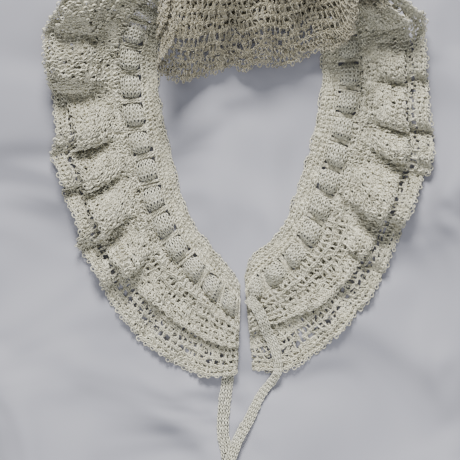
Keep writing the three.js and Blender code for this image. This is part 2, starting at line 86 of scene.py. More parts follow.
# Unevenness of the hand work: slips of one stitch, slow drifts of a row, shares of its size.
SPREAD = 0.5
SLIP_ALONG, SLIP_ACROSS, SLIP_OUT = 0.4, 0.35, 0.3
DRIFT_ALONG, DRIFT_ACROSS, DRIFT_OUT = 0.5, 0.45, 0.35
LIFT_PLAY, SIZE_PLAY = 0.3, 0.16
BAND_SWING = 0.16
DRIFT_DEPTH = 40.0  # depth that the drifts take a whole width of cloth for

# The thin sheet behind the loops, whose darker yarn is painted shade between them.
SHEET_STEP, BAND_SHEET_STEP = 1.4, 1.25
SHEET_SUNK = 0.5
SHEET_THICKNESS = 0.3
SHEET_PLAY, MARK_PLAY = 0.2, 1.5
LEAST_YARN_HEIGHT, LEAST_SHEET_HEIGHT = 0.02, 0.4

# Places along the neck edge where the frills' wrong side comes into sight and leaves it, and where
# the yarn gets painted shade.
WRONG_START, WRONG_END, WRONG_FADE = 158, 245, 6
# Shares of the sheet left open, and where: in the body, the turned part, the mesh, the fronts.
BODY_GAPS, TURNED_GAPS, MESH_GAPS, FRONT_GAPS = 0.15, 0.48, 0.55, 0.32
GAPS_TURNED = (160, 243)
GAPS_MESH = (0.6, 0.83)
GAPS_FRONT = (42, 340)
SHALLOW = 45  # depth at the back that parts the short frill from the long one

# Stretches of the neck edge, and shares of a frill's depth, that are worked in one way.
ALL_ROUND = (0.0, 400.0)
LEFT_FRONT, GATHERED, RIGHT_FRONT = (0.0, 43.0), (43.0, 338.0), (338.0, 400.0)
LEFT_SIDE, TURNED, RIGHT_SIDE = (0.0, 161.0), (161.0, 242.0), (242.0, 400.0)
LONG_STRIPS = [(0.01, 0.6), (0.6, 0.83), (0.83, 0.965)]
SHORT_STRIPS = [(0.01, 0.965)]
BAND_STRIPS = [(0.03, 0.975)]

# The view and the room, in metres and watts.
VIEW_MIDDLE = Vector((-0.00487, -0.03757, 0))
VIEW_WIDTH = 0.253
CAMERA_HEIGHT = 3.0
FLOOR_REACH = 4.0
CREASE_SCALE, CREASE_DEPTH = 12, 0.036
ROOM_STRENGTH = 0.48

# Neck edge x and y; head and tilt of the band, then of the frill's edge; the frill's depth, and
# the length over which it turns from the one direction to the other.
SECTIONS = np.array((
    (-0.5, -68.5, 268, 0, 268, 0, 27, 20),
    (-3.6, -64.2, 259, 0, 259, 0, 35, 20),
    (-7.6, -59.0, 250, 0, 250, 0, 39, 20),
    (-14.6, -50.3, 235, 0, 235, 0, 42, 20),
    (-25.6, -36.6, 216, 0, 216, 0, 40, 20),
    (-33.8, -17.3, 203, 0, 203, 0, 40, 20),
    (-38.6, 4.0, 194, 0, 194, 0, 41, 20),
    (-43.0, 21.2, 187, 0, 187, 0, 40, 20),
    (-45.2, 38.0, 182, 0, 182, 2, 37, 20),
    (-46.0, 54.0, 176, 4, 176, 12, 43, 20),
    (-44.2, 67.0, 162, 14, 166, 27, 45, 20),
    (-39.9, 75.5, 138, 32, 132, 20, 42, 18),
    (-36.0, 79.2, 124, 48, 20, 62, 27, 20),
    (-31.0, 82.0, 112, 60, 262, -4, 57, 20),
    (-18.0, 85.8, 102, 66, 262, -28, 66, 20),
    (0.0, 87.6, 90, 70, 269, -32, 65, 20),
    (17.0, 87.0, 78, 66, 272, -30, 63, 20),
    (30.0, 83.6, 58, 46, 277, -14, 53, 20),
    (34.8, 80.6, 48, 33, 340, 66, 38, 18),
    (38.4, 77.0, 36, 20, 18, 44, 36, 18),
    (42.6, 68.0, 18, 6, 19, 22, 39, 20),
    (43.6, 56.0, 6, 0, 6, 2, 36, 20),
    (44.0, 40.0, -2, 0, -2, 0, 37, 20),
    (41.6, 24.0, -11, 0, -11, 0, 43, 20),
    (37.2, 5.0, -18, 0, -18, 0, 42, 20),
    (31.6, -13.5, -26, 0, -26, 0, 40, 20),
    (25.4, -31.5, -36, 0, -36, 0, 40, 20),
    (16.6, -44.6, -50, 0, -50, 0, 41, 20),
    (9.2, -50.6, -62, 0, -62, 0, 43, 20),
    (4.6, -55.6, -72, 0, -72, 0, 42, 20),
    (1.6, -64.4, -85, 0, -85, 0, 30, 20),
))
# Folds of the frills: middle along the neck edge, width, height, share of the depth where it
# begins, how much higher the short frill stands, how much further the long one reaches.
FOLDS = (
    (1.5, 26, 3.4, -0.1, 0, 0),
    (20, 15, 1.8, 0.25, 1.2, 0),
    (31, 11, 3.0, 0.3, 1.5, 0),
    (48.5, 16, 7, 0.0, 2.5, -1.5),
    (61, 11, 4, 0.45, 0, 3),
    (69.5, 20, 8, 0.0, 3, -3),
    (87, 17, 7.5, 0.0, 2.5, 0),
    (96, 11, 3, 0.6, 0, 2.5),
    (106, 22, 8.5, 0.0, 3, -1.5),
    (131, 26, 9.5, 0.0, 2, 0),
    (149, 18, 8, 0.0, 1, 0),
    (180, 22, -4, 0.25, 0, 1.5),
    (197, 7, 2.5, 0.35, 0, -2),
    (209, 18, -5, 0.25, 0, -6),
    (226, 14, 3, 0.35, 0, -2),
    (246, 19, 8, 0.0, 1, 0),
    (267, 18, 5, 0.1, 1.5, 0),
    (285, 19, 7, 0.0, 2, 0),
    (299, 13, 6, 0.05, 2.5, 1.5),
    (306, 10, 3, 0.55, 0, 3.0),
    (321, 24, 10, 0.0, 3, 0),
    (344, 14, 4, 0.15, 1.5, 0),
    (357, 14, 2.5, 0.35, 1.5, 0.5),
    (370, 14, 3.2, 0.25, 1.2, 0),
    (385, 12, 1.6, 0.3, 1, 0),
)
# How far the folds lean over towards the fronts, at places along the neck edge.
LEANS = np.array((
    (0, 0), (30, -0.2), (45, -0.7), (60, -0.85), (112, -0.85), (124, 0), (140, 0.3),
    (160, 0.3), (172, 0), (228, 0), (240, 0.5), (255, 0.7), (332, 0.75), (350, 0.4),
    (370, 0.2), (395, 0),
))
# Depth of the short frill as a share of the long one, at places along the neck edge.
UPPER_SHARES = np.array((
    (0, 0.46), (14, 0.48), (30, 0.54), (45, 0.64), (62, 0.7), (112, 0.7), (122, 0.9),
    (158, 0.9), (172, 0.62), (228, 0.62), (238, 0.85), (252, 0.8), (264, 0.62), (300, 0.68),
    (330, 0.7), (350, 0.62), (366, 0.56), (378, 0.44), (388, 0.32), (395, 0.28),
))
# Number of a puff of the tie, and its middle along the eyelet row.
PUFFS = np.array((
    (0, 6.9), (1, 19.8), (4, 64), (9, 142.5), (23, 353.5), (31, 473.5), (32, 486.9),
))

# The free ends of the tie, at the middle of their thickness.
LEFT_END = np.array((
    (-4.2, -89.4, 0.72), (-4.6, -94, 0.72), (-4.9, -100, 0.72), (-5.4, -107, 0.72),
    (-6.3, -113.5, 0.72), (-7.5, -120, 0.72), (-8.3, -126.5, 0.72), (-9.0, -132, 0.72),
    (-9.6, -138, 0.72), (-10.2, -144, 0.72), (-10.2, -150, 0.72), (-9.3, -156, 0.72),
    (-7.9, -162.5, 0.72), (-6.6, -168.5, 0.72), (-5.6, -174.5, 0.72),
))
RIGHT_END = np.array((
    (3.6, -76.6, 6.1), (6.2, -79.2, 6.7), (8.3, -81.8, 7.3), (10.1, -85, 6.9),
    (11.6, -88.6, 6.3), (13.0, -92.7, 5.1), (15.2, -97.4, 3.4), (17.3, -101.6, 3.6),
    (18.7, -105.4, 3.9), (19.6, -109.4, 3.9), (20.2, -114, 3.7), (19.6, -118, 3.7),
    (17.6, -121.4, 2.1), (14.8, -124.9, 1.2), (10.4, -130.6, 1.0), (7.3, -136.9, 1.0),
    (4.3, -143.2, 1.1), (0.7, -149.5, 2.4), (-2.4, -155.4, 2.7), (-4.6, -161.6, 2.7),
    (-6.2, -167.4, 2.7), (-8.0, -173.6, 2.7),
))
# Width of the right end at distances along it, where it twists and lies flat by turns.
RIGHT_WIDTHS = np.array(((0, 5.8), (30, 6.0), (44, 4.6), (58, 4.4), (72, 5.6), (120, 6.2)))

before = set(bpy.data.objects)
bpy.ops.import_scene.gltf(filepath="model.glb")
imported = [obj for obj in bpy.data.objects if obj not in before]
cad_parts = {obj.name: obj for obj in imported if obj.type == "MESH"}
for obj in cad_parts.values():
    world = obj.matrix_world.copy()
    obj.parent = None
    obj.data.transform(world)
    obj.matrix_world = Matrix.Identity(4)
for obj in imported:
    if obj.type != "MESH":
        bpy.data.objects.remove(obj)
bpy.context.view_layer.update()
chance = np.random.default_rng(7)


# ---- Reading smooth values from the tables ----

def smooth(t):
    """0 to 1 as t goes from 0 to 1, level at both ends."""
    c = np.clip(t, 0.0, 1.0)
    return c * c * (3 - 2 * c)


def bump(t):
    """A fold's shape across its width: a full crest, and a narrow valley beside it."""
    soft = 0.5 * (1 + np.cos(np.pi * np.clip(t, -1, 1)))
    return 1 - (1 - soft) ** CREST_FULLNESS


def unit(v):
    """Vectors made one unit long."""
    return v / np.maximum(np.linalg.norm(v, axis=-1, keepdims=True), 1e-9)


def run_of(head, tilt):
    """Ways from their heads and tilts in degrees."""
    h, t = np.radians(head), np.radians(tilt)
    return np.stack((np.cos(t) * np.cos(h), np.cos(t) * np.sin(h), np.sin(t)), axis=-1)


def through(rows, t):
    """A smooth curve through rows of values, read at the places t."""
    padded = np.vstack((2 * rows[0] - rows[1], rows, 2 * rows[-1] - rows[-2]))
    i = np.clip(np.floor(t).astype(int), 0, len(rows) - 2)
    f = (t - i)[:, None]
    p0, p1, p2, p3 = (padded[i + k] for k in range(4))
    curved = (2 * p0 - 5 * p1 + 4 * p2 - p3) * f * f + (3 * p1 - p0 - 3 * p2 + p3) * f ** 3
    return 0.5 * (2 * p1 + (p2 - p0) * f + curved)


def lengths_along(points):
    """How far along a line of points each of them is."""
    steps = np.linalg.norm(np.diff(points, axis=0), axis=-1)
    return np.concatenate(([0.0], np.cumsum(steps)))


# ---- The surfaces that the cloth lies on ----

class Surface:
    """A smooth surface over a grid of points: u runs along the neck edge, v across it."""

    def __init__(self, u, points):
        self.u, self.across = u, points.shape[1] - 1
        along, over = unit(np.gradient(points, axis=0)), unit(np.gradient(points, axis=1))
        normals = unit(np.cross(along, over))
        self.grid = np.concatenate((points, along, over, normals), axis=-1)

    def at(self, u, v):
        """Points, and the ways along, across and out of the surface there."""
        x, y = (u - self.u[0]) / (self.u[1] - self.u[0]), v * self.across
        i = np.clip(np.floor(x).astype(int), 0, len(self.u) - 2)
        j = np.clip(np.floor(y).astype(int), 0, self.across - 1)
        a, b = (x - i)[:, None], (y - j)[:, None]
        g = self.grid
        near = (1 - a) * g[i, j] + a * g[i + 1, j]
        far = (1 - a) * g[i, j + 1] + a * g[i + 1, j + 1]
        read = (1 - b) * near + b * far
        return read[:, :3], unit(read[:, 3:6]), unit(read[:, 6:9]), unit(read[:, 9:])

    def row(self, v):
        """How far along the surface each u is, at one share of its width."""
        return lengths_along(self.at(self.u, np.full(len(self.u), v))[0])


rows = np.hstack((
    SECTIONS[:, :2],
    run_of(SECTIONS[:, 2], SECTIONS[:, 3]),
    run_of(SECTIONS[:, 4], SECTIONS[:, 5]),
    SECTIONS[:, 6:],
))
fine = np.linspace(0, len(SECTIONS) - 1, 2001)
neck_lengths = lengths_along(through(rows, fine)[:, :2])
u = np.linspace(0, neck_lengths[-1], int(neck_lengths[-1] / ALONG_STEP) + 1)
sections = through(rows, np.interp(u, neck_lengths, fine))
neck = np.column_stack((sections[:, :2], np.zeros(len(u))))
band_run, tip_run = unit(sections[:, 2:5]), unit(sections[:, 5:8])
reach, turn = sections[:, 8], sections[:, 9]


def band_surface(height):
    """The band's surface at a height over its base, for each place along and across it."""
    across = np.linspace(0, BAND_WIDTH, height.shape[1])
    base = neck[:, None] + band_run[:, None] * across[None, :, None]
    way = unit(np.gradient(base, axis=0))
    up = unit(np.cross(way, np.broadcast_to(band_run[:, None], way.shape)))
    return Surface(u, base + up * height[..., None] + TO_FRAME)


def frill_surface(layers, gaps, extra):
    """The middle of a frill's cloth, which hangs from the band's outer edge."""
    share = np.linspace(0, 1, DEPTH_STEPS)
    turned = smooth(share * (reach / turn)[:, None])[..., None]
    bend = np.arccos(np.clip((band_run * tip_run).sum(axis=1), -1, 1))[:, None, None] + 1e-4
    kept = np.sin((1 - turned) * bend) * band_run[:, None]
    run = unit(kept + np.sin(turned * bend) * tip_run[:, None])
    step = reach / (DEPTH_STEPS - 1)
    middles = (run[:, 1:] + run[:, :-1]) / 2 * step[:, None, None]
    base = neck + band_run * BAND_WIDTH
    points = np.concatenate((np.zeros((len(u), 1, 3)), np.cumsum(middles, axis=1)), axis=1)
    points = points + base[:, None]

    du = u[1] - u[0]
    along = np.gradient(points, du, axis=0)
    stretch = np.linalg.norm(along, axis=-1)
    up = unit(np.cross(unit(along), run))
    seam = unit(np.gradient(base, axis=0))[:, None]
    lean = np.interp(u, LEANS[:, 0], LEANS[:, 1])[:, None]
    high = BAND_LIFT * (1 - smooth(share * reach[:, None] / ROOT_DROP))
    rise, flare = np.zeros_like(high), np.zeros(len(u))
    for at, width, height, start, upper, more in FOLDS:
        shape = bump((u - at) / (width / 2))
        begun = smooth((share - start) / max(FOLD_FULL - start, FOLD_RISE))
        high = high + height * shape[:, None] * begun
        rise = rise + upper * shape[:, None] * smooth((share - start) / UPPER_RISE)
        flare = flare + more * shape
    slope = np.gradient(high, du, axis=0) / stretch
    fall = np.gradient(high, axis=1) / step[:, None]
    steepness = np.sqrt((1 + lean * slope) ** 2 + slope ** 2 + fall ** 2)
    steepness = np.clip(steepness, LEAST_STEEPNESS, MOST_STEEPNESS)
    height = high + (layers * CLOTH + gaps * LAYER_GAP) * steepness + extra * rise
    flared = run * (flare[:, None] * smooth(share / FLARE_FULL))[..., None]
    leaned = seam * (lean * height)[..., None]
    points = points + flared + up * height[..., None] + leaned + TO_FRAME
    if layers > 1:
        whole = Surface(u, points)
        shares = np.interp(u, UPPER_SHARES[:, 0], UPPER_SHARES[:, 1])
        points = np.stack([whole.at(u, shares * part)[0] for part in share], axis=1)
    return Surface(u, points)


across_band = np.linspace(0, BAND_WIDTH, BAND_STEPS)
band_lift = BAND_LIFT * smooth((across_band - LIFT_START) / (LIFT_END - LIFT_START))
band = band_surface(np.broadcast_to(band_lift + CLOTH / 2, (len(u), BAND_STEPS)))
flat_band = band_surface(np.zeros((len(u), BAND_STEPS)))
long_frill = frill_surface(0.5, 0, 0)
short_frill = frill_surface(1.5, 1, 1)


# ---- Yarn and stitches ----

def strand(bm, points, closed=False):
    """Yarn through the points: a small ring of corners carried from each point to the next."""
    core = bm.verts.layers.float_vector["core"]
    uv = bm.loops.layers.uv["yarn"]
    points = [Vector(p) for p in points]
    count = len(points)

    def place(k):
        before = points[k - 1] if closed or k else points[0]
        after = points[(k + 1) % count] if closed or k < count - 1 else points[k]
        way = (after - before).normalized()
        side = way.cross(Vector((0, 0, 1))).normalized()
        up = side.cross(way)
        facing = Matrix((side, up, way)).transposed().to_4x4()
        return Matrix.Translation(points[k]) @ facing

    here = place(0)
    made = bmesh.ops.create_circle(
        bm, cap_ends=not closed, segments=SIDES, radius=YARN, matrix=here
    )["verts"]
    rings = [made]
    edges = list({e for v in made for e in v.link_edges})
    first = edges
    for k in range(1, count):
        grown = bmesh.ops.extrude_edge_only(bm, edges=edges)["geom"]
        made = [g for g in grown if isinstance(g, bmesh.types.BMVert)]
        edges = [g for g in grown if isinstance(g, bmesh.types.BMEdge)]
        edges = [e for e in edges if all(v in made for v in e.verts)]
        there = place(k)
        bmesh.ops.transform(bm, matrix=there @ here.inverted(), verts=made)
        here = there
        rings.append(made)
    if closed:
        bmesh.ops.bridge_loops(bm, edges=first + edges)
    else:
        bmesh.ops.contextual_create(bm, geom=edges)

    number, turned, distance = {}, {}, [0.0]
    for k, ring in enumerate(rings):
        frame_here = place(k).inverted()
        for v in ring:
            v[core] = points[k]
            local = frame_here @ v.co
            number[v] = k
            turned[v] = round(math.atan2(local.y, local.x) / (2 * math.pi) * SIDES) % SIDES
    for k in range(count):
        distance.append(distance[-1] + (points[(k + 1) % count] - points[k]).length)
    for face in {f for ring in rings for v in ring for f in v.link_faces}:
        ks = [number[loop.vert] for loop in face.loops]
        ts = [turned[loop.vert] for loop in face.loops]
        for loop, k, t in zip(face.loops, ks, ts):
            last = closed and k == 0 and count - 1 in ks
            wraps = t == 0 and SIDES - 1 in ts
            loop[uv].uv = (distance[count if last else k], (SIDES if wraps else t) / SIDES)


def stitch(draw):
    """A mesh of one stitch, drawn by a function that lays its yarn."""
    bm = bmesh.new()
    bm.verts.layers.float_vector.new("core")
    bm.loops.layers.uv.new("yarn")
    draw(bm)
    bmesh.ops.recalc_face_normals(bm, faces=bm.faces)
    mesh = bpy.data.meshes.new("stitch")
    bm.to_mesh(mesh)
    bm.free()
    mesh.polygons.foreach_set("use_smooth", [True] * len(mesh.polygons))
    return mesh


def loop_points(cx, cy, length, width, tilt, height=0.1, points=9, pinch=0.2):
    """A loop of chain: narrower at its start, with its far end lifted over the next one."""
    found = []
    for k in range(points):
        t = 2 * math.pi * k / points
        x = cx + length / 2 * math.cos(t)
        y = cy + width / 2 * math.sin(t) * (1 + pinch * math.cos(t))
        found.append((x, y, height + tilt * math.cos(t)))
    return found


def foot(y, low, full):
    """How far a stitch's yarn is sunk, from its foot up to where it is all out."""
    return ROOT_SINK * (1 - float(smooth((y - low) / full)))


def core_strand(bm, x, low, high):
    """A strand that crosses from one side of a stitch to the other, half a turn round it."""
    points = []
    for k in range(CORE_STEPS + 1):
        t = k / CORE_STEPS
        y = low + (high - low) * t
        z = CORE_DEPTH * math.sin(math.pi * t) + foot(y, low, (high - low) / 3) - 0.1 * t
        points.append((x + CORE_SPREAD * math.cos(math.pi * t), y, z))
    strand(bm, points)


def twisted_loop(bm, x, low, high, width=0.66, depth=0.36, points=11):
    """A tall loop with one twist, so that its two sides cross in the middle."""
    found = []
    for k in range(points):
        t = 2 * math.pi * k / points
        y = low + (high - low) * (1 - math.cos(t)) / 2
        found.append((x + width * math.sin(2 * t), y, depth * math.sin(t) + foot(y, low, FOOT_REACH)))
    strand(bm, found, closed=True)


# Each stitch starts with its foot in the row below, and ends with the chain loop on top.

def tall_stitch(bm):
    twisted_loop(bm, PITCH / 2, -0.6, TALL - 0.9)
    core_strand(bm, PITCH / 2, -0.6, TALL - 1.1)
    strand(bm, loop_points(PITCH / 2, TALL - 0.85, 2.6, 1.25, 0.36, height=0.25), closed=True)


def short_stitch(bm):
    twisted_loop(bm, PITCH / 2, -0.6, SHORT - 0.6, points=8)
    strand(bm, loop_points(PITCH / 2, SHORT - 0.85, 2.6, 1.2, 0.36, height=0.25), closed=True)


def open_stitch(bm):
    twisted_loop(bm, OPEN_PITCH / 2, -0.6, TALL - 0.8, width=0.55)
    chain = loop_points(OPEN_PITCH / 2, TALL - 0.8, 3.4, 1.2, 0.36, height=0.2, points=10)
    strand(bm, chain, closed=True)


def mesh_stitch(bm):
    twisted_loop(bm, MESH_PITCH / 2, -0.6, MESH_TALL - 0.5, width=0.5)
    for x in (MESH_PITCH * 0.25, MESH_PITCH * 0.75):
        strand(bm, loop_points(x, MESH_TALL - 0.7, 2.2, 0.95, 0.3), closed=True)


def picot(bm):
    strand(bm, loop_points(PICOT_PITCH / 2, 0.8, 2.3, 2.1, 0.25, pinch=0), closed=True)
    strand(bm, loop_points(PICOT_PITCH * 0.05, 0.3, 1.8, 1.1, 0.25, pinch=0), closed=True)


def chain_loop(bm):
    strand(bm, loop_points(PITCH / 2, 0.75, 2.6, 1.2, 0.32), closed=True)


STITCHES = {
    "tall": (stitch(tall_stitch), PITCH, TALL),
    "short": (stitch(short_stitch), PITCH, SHORT),
    "open": (stitch(open_stitch), OPEN_PITCH, TALL),
    "mesh": (stitch(mesh_stitch), MESH_PITCH, MESH_TALL),
    "picot": (stitch(picot), PICOT_PITCH, PICOT_TALL),
    "chain": (stitch(chain_loop), PITCH, CHAIN_TALL),
}


def repeated(mesh, count, step):
    """The mesh repeated along X by an array: its points, the yarn's middle by each, its copy."""
    one = bpy.data.objects.new("worked", mesh)
    bpy.context.scene.collection.objects.link(one)
    array = one.modifiers.new("repeat", "ARRAY")
    array.count = count
    array.use_relative_offset = False
    array.use_constant_offset = True
    array.constant_offset_displace = (step, 0, 0)
    graph = bpy.context.evaluated_depsgraph_get()
    row = bpy.data.meshes.new_from_object(one.evaluated_get(graph))
    bpy.data.objects.remove(one)
    total = len(row.vertices)
    points, core = np.empty(total * 3), np.empty(total * 3)
    row.vertices.foreach_get("co", points)
    row.attributes["core"].data.foreach_get("vector", core)
    copy = np.repeat(np.arange(count), total // count)
    core = core.reshape(-1, 3)
    core[:, 0] += copy * step
    row.attributes.remove(row.attributes["core"])
    return row, points.reshape(-1, 3), core, copy


def laid(row, points):
    """The worked row as an object, with its points laid in place on the collar."""
    points = points.copy()
    points[:, 2] = np.maximum(points[:, 2], LEAST_YARN_HEIGHT)
    row.vertices.foreach_set("co", (points * MM).ravel())
    row.update()
    piece = bpy.data.objects.new("row", row)
    bpy.context.scene.collection.objects.link(piece)
    return piece


WAVES = chance.uniform(0, 2 * np.pi, (6, 3))
WAVE_LENGTHS = np.array((7.0, 9.5, 13.0, 17.0, 23.0, 31.0))
WAVE_SUM = 2.4  # about what the waves add up to at most


def wander(s, depth, kind):
    """A slow unevenness over the cloth, between about -1 and 1."""
    total = 0.0
    for length, phases in zip(WAVE_LENGTHS, WAVES):
        heading = phases[kind] * 3
        run = s * np.cos(heading) + depth * np.sin(heading)
        total = total + np.sin(2 * np.pi * run / length + phases[0])
    return total / WAVE_SUM


def work_row(surface, kind, low, high, swing=BAND_SWING, part=ALL_ROUND, where=None, height=0.0):
    """A row of stitches along a surface, between two shares of its width.

    It runs along a part of the neck edge, or puts one stitch at each of the distances in where.
    """
    mesh, pitch, tall = STITCHES[kind]
    whole_line = surface.row((low + high) / 2)
    start, end = np.interp(part, surface.u, whole_line)
    line = whole_line - start
    run = end - start
    if where is None:
        count = round(run / pitch)
    else:
        count = len(where)
    row, points, core, copy = repeated(mesh, count, pitch)
    off = points - core
    centre = copy * pitch + pitch / 2
    if where is None:
        spacing = run / (count * pitch)
        middle_of = centre * spacing + chance.uniform(-0.5, 0.5) * pitch
    else:
        spacing = 1.0
        middle_of = np.asarray(where)[copy]
    local = np.column_stack((core[:, 0] - centre, core[:, 1] - tall / 2))
    jitter = chance.normal(0, SPREAD, (count, 6))
    sine, cosine = np.sin(swing * jitter[copy, 0]), np.cos(swing * jitter[copy, 0])
    turned = np.column_stack((
        local[:, 0] * cosine - local[:, 1] * sine,
        local[:, 1] * cosine + local[:, 0] * sine,
    ))
    x = middle_of + turned[:, 0] * spacing + SLIP_ALONG * jitter[copy, 1]
    down = turned[:, 1] + tall / 2 + SLIP_ACROSS * jitter[copy, 2]
    sway = x, (low + high) / 2 * DRIFT_DEPTH
    x = x + DRIFT_ALONG * wander(*sway, 0)
    down = down + DRIFT_ACROSS * wander(*sway, 1)
    v = low + (high - low) * down / tall
    place = np.interp(x, line, surface.u)
    middle, along, across, out = surface.at(place, v)
    lifted = core[:, 2] * (1 + LIFT_PLAY * jitter[copy, 3]) + height
    lifted = lifted + SLIP_OUT * jitter[copy, 4] + DRIFT_OUT * wander(*sway, 2)
    off = off * (1 + SIZE_PLAY * jitter[copy, 5:6])
    placed = middle + out * (lifted[:, None] + off[:, 2:])
    placed = placed + along * off[:, :1] + across * off[:, 1:2]
    # Painted shade: each point's share of the darkening that stands in for the shade over the turned
    # part of the back.
    turned_shade = row.attributes.new("painted_turned_shade", "FLOAT", "POINT")
    turned_shade.data.foreach_set("value", turned_part_and_shade(place, surface))
    return laid(row, placed)


def turned_part_and_shade(place, surface):
    """1 in the turned part of the back, where a frill's wrong side shows, and 0 elsewhere: it sets
    which way the sheet is sunk there and how much painted shade the yarn gets.
    """
    if surface is band:
        return np.zeros(len(place))
    begun = smooth((place - WRONG_START) / WRONG_FADE)
    return begun * smooth((WRONG_END - place) / WRONG_FADE)


def joined(name, parts):
    """The parts made one object under a new name."""
    with bpy.context.temp_override(active_object=parts[0], selected_editable_objects=parts):
        bpy.ops.object.join()
    piece = parts[0]
    piece.name = name
    piece.data.name = name
    return piece


def ground(name, surface, strips, opens, step=SHEET_STEP):
    """The close body of the cloth behind its loops: a thin uneven sheet, in strips of its width."""
    bm = bmesh.new()
    uv = bm.loops.layers.uv.new("yarn")
    turned_shade_layer = bm.verts.layers.float.new("painted_turned_shade")
    middle_line = lengths_along(surface.grid[len(surface.u) // 2, :, :3])[-1]
    for low, high in strips:
        line = surface.row((low + high) / 2)
        made = bmesh.ops.create_grid(
            bm,
            x_segments=round(line[-1] / step),
            y_segments=max(2, round((high - low) * middle_line / step)),
            size=0.5,
        )["verts"]
        corners = set(made)
        faces = [face for face in bm.faces if face.verts[0] in corners]
        flat = np.array([face.calc_center_median() for face in faces]) + 0.5
        where = np.interp(flat[:, 0] * line[-1], line, surface.u)
        cut = opens(where, low + (high - low) * flat[:, 1], middle_line)
        gone = [face for face, is_cut in zip(faces, cut) if is_cut]
        bmesh.ops.delete(bm, geom=gone, context="FACES")
        made = [vert for vert in made if vert.is_valid]
        flat = np.array([vert.co for vert in made]) + 0.5
        s, v = flat[:, 0] * line[-1], low + (high - low) * flat[:, 1]
        middle, along, across, out = surface.at(np.interp(s, line, surface.u), v)
        rough = chance.normal(0, SHEET_PLAY, (len(made), 5))
        # The turned part of the back sets which way the sheet is sunk, and how much painted shade it
        # gets.
        turned_shade = turned_part_and_shade(np.interp(s, line, surface.u), surface)
        placed = middle + out * (rough[:, 0] - SHEET_SUNK * (1 - 2 * turned_shade))[:, None]
        placed = placed + along * rough[:, 1:2] + across * rough[:, 2:3]
        placed[:, 2] = np.maximum(placed[:, 2], LEAST_SHEET_HEIGHT)
        marks = np.column_stack((s, v * middle_line / 2)) + rough[:, 3:] * MARK_PLAY
        for vert, point, mark, painted_amount in zip(made, placed, marks, turned_shade):
            vert.co = point * MM
            vert[turned_shade_layer] = painted_amount
            for loop in vert.link_loops:
                loop[uv].uv = mark
    bmesh.ops.solidify(bm, geom=bm.faces[:], thickness=SHEET_THICKNESS * MM)
    bmesh.ops.recalc_face_normals(bm, faces=bm.faces)
    mesh = bpy.data.meshes.new(name)
    bm.to_mesh(mesh)
    bm.free()
    mesh.polygons.foreach_set("use_smooth", [True] * len(mesh.polygons))
    piece = bpy.data.objects.new(name, mesh)
    bpy.context.scene.collection.objects.link(piece)
    return piece


# ---- Camera, lights and floor ----

camera_data = bpy.data.cameras.new("camera")
camera = bpy.data.objects.new("camera", camera_data)
bpy.context.scene.collection.objects.link(camera)
camera.location = VIEW_MIDDLE + Vector((0, 0, CAMERA_HEIGHT))
camera_data.lens = camera_data.sensor_width * CAMERA_HEIGHT / VIEW_WIDTH
camera_data.clip_end = 20
bpy.context.scene.camera = camera


def lamp(name, place, size, power, colour):
    """A round lamp that faces the collar."""
    data = bpy.data.lights.new(name, "AREA")
    data.shape = "DISK"
    data.size = size
    data.energy = power
    data.color = colour
    thing = bpy.data.objects.new(name, data)
    thing.location = place
    thing.rotation_euler = (-Vector(place)).to_track_quat("-Z", "Y").to_euler()
    bpy.context.scene.collection.objects.link(thing)


lamp("window", (-0.3, 4.9, 3.4), 2.1, 1030, (1.0, 0.985, 0.955))
lamp("room", (-0.05, -0.5, 0.5), 0.4, 3.0, (0.97, 0.98, 1.0))

world = bpy.data.worlds.new("room")
world.use_nodes = True
world.node_tree.nodes["Background"].inputs["Color"].default_value = (0.80, 0.82, 0.86, 1)
world.node_tree.nodes["Background"].inputs["Strength"].default_value = ROOM_STRENGTH
bpy.context.scene.world = world

bm = bmesh.new()
bmesh.ops.create_grid(bm, x_segments=2, y_segments=2, size=FLOOR_REACH)
floor_mesh = bpy.data.meshes.new("floor")
bm.to_mesh(floor_mesh)
bm.free()
floor = bpy.data.objects.new("floor", floor_mesh)
bpy.context.scene.collection.objects.link(floor)
floor_cloth = bpy.data.materials.new("pale_cloth")
floor_cloth.use_nodes = True
nodes, link = floor_cloth.node_tree.nodes, floor_cloth.node_tree.links.new
shader = nodes["Principled BSDF"]
shader.inputs["Base Color"].default_value = (0.265, 0.266, 0.303, 1)
shader.inputs["Roughness"].default_value = 0.9
places = nodes.new("ShaderNodeTexCoord")
creases = nodes.new("ShaderNodeTexNoise")
creases.inputs["Scale"].default_value = CREASE_SCALE
creases.inputs["Detail"].default_value = 1.5
creases.inputs["Distortion"].default_value = 0.6
folded = nodes.new("ShaderNodeBump")
folded.inputs["Strength"].default_value = 1.0
folded.inputs["Distance"].default_value = CREASE_DEPTH
link(places.outputs["Object"], creases.inputs["Vector"])
link(creases.outputs["Fac"], folded.inputs["Height"])
link(folded.outputs["Normal"], shader.inputs["Normal"])
floor_mesh.materials.append(floor_cloth)


# ---- The yarn's finish ----

